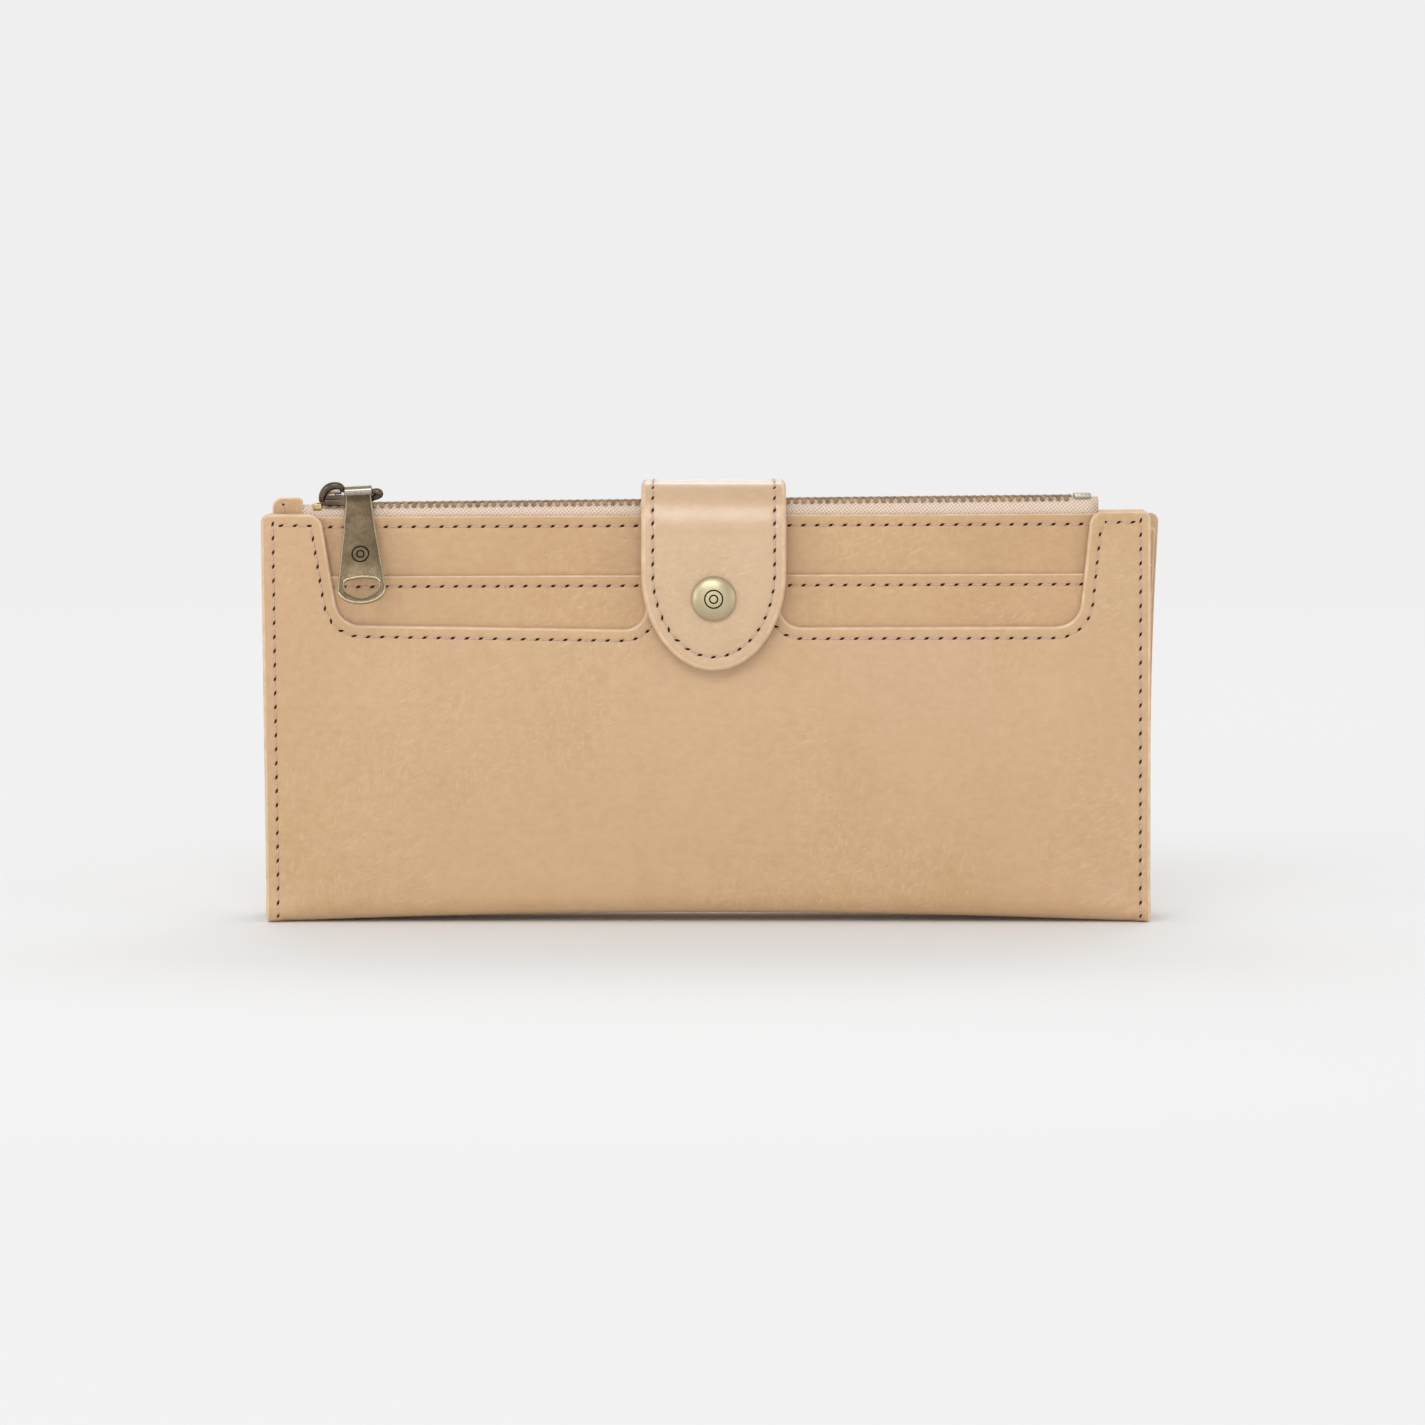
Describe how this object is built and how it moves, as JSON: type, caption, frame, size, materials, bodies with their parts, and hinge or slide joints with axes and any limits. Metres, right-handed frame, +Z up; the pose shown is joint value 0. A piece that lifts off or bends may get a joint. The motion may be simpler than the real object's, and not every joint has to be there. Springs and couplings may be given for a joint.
{
  "type": "long wallet",
  "caption": "Long bifold wallet with open card pockets and a zip pocket on the front leaf, card panels inside, and a snap strap over the top.",
  "frame": {"origin": "on the surface that the wallet stands on, under the middle of the fold", "axes": "+X to the right seen from the front, +Y from the front cover to the back, +Z up"},
  "size_m": [0.19, 0.0318, 0.0942],
  "materials": {
    "leather": "glazed tan hide with fine creases",
    "cloth": "plain woven lining",
    "zip_tape": "herringbone zip tape",
    "thread": "bonded thread",
    "brass": "antiqued and brushed",
    "bright_brass": "polished"
  },
  "bodies": {
    "fold": {"spine_cover": "leather", "spine_lining": "cloth"},
    "front_leaf": {"front_cover": "leather", "lower_card_panel": "leather", "upper_card_panel": "leather", "card_pocket_lining": "cloth", "zip_tape_front": "zip_tape", "zip_tape_rear": "zip_tape", "zip_teeth_front": "brass", "zip_teeth_rear": "brass", "zip_top_stop_front": "bright_brass", "zip_top_stop_rear": "bright_brass", "zip_bottom_stop": "bright_brass", "zip_end_tab_left": "leather", "zip_end_tab_right": "leather", "zip_pocket_rear_wall": "leather", "inner_slip_pocket": "leather", "snap_stud": "brass", "snap_stud_back_plate": "brass"},
    "zip_slider": {"slider_body": "brass", "slider_lower_plate": "brass", "slider_bail": "brass"},
    "zip_pull": {"zip_pull": "brass"},
    "rear_leaf": {"back_cover": "leather", "note_pocket_lining": "cloth", "note_pocket_front": "leather", "inner_card_panel_1": "leather", "inner_card_panel_2": "leather", "inner_card_panel_3": "leather", "inner_card_panel_4": "leather", "strap_root_leather": "leather", "strap_root_lining": "leather"},
    "strap_bridge": {"strap_bridge_leather": "leather", "strap_bridge_lining": "leather"},
    "strap_tip": {"strap_tip_leather": "leather", "strap_tip_lining": "leather", "snap_cap": "brass", "snap_socket": "brass"}
  },
  "joints": [
    {"name": "front_leaf_open", "type": "hinge", "parent": "fold", "child": "front_leaf", "pos_m": [0, -0.00995, 0.00055], "axis": [1, 0, 0], "range_deg": [0, 82]},
    {"name": "rear_leaf_open", "type": "hinge", "parent": "fold", "child": "rear_leaf", "pos_m": [0, 0.00995, 0.00055], "axis": [-1, 0, 0], "range_deg": [0, 87]},
    {"name": "strap_swing", "type": "hinge", "parent": "rear_leaf", "child": "strap_bridge", "pos_m": [0.0012, 0.01042, 0.09172], "axis": [-1, 0, 0], "range_deg": [0, 90], "deforming": ["strap_bridge_leather", "strap_bridge_lining"]},
    {"name": "strap_tip_bend", "type": "hinge", "parent": "strap_bridge", "child": "strap_tip", "pos_m": [0.0012, -0.01192, 0.09172], "axis": [-1, 0, 0], "range_deg": [0, 90], "deforming": ["strap_tip_leather", "strap_tip_lining"]},
    {"name": "zip_slide", "type": "slide", "parent": "front_leaf", "child": "zip_slider", "axis": [0.9999, 0, 0.0105], "range_m": [0, 0.148]},
    {"name": "pull_swing", "type": "hinge", "parent": "zip_slider", "child": "zip_pull", "pos_m": [-0.0752, -0.0074, 0.09253], "axis": [-1, 0, 0], "range_deg": [0, 165]}
  ],
  "couplings": [
    {"joint": "strap_tip_bend", "follows": "strap_swing", "ratio": 1}
  ]
}
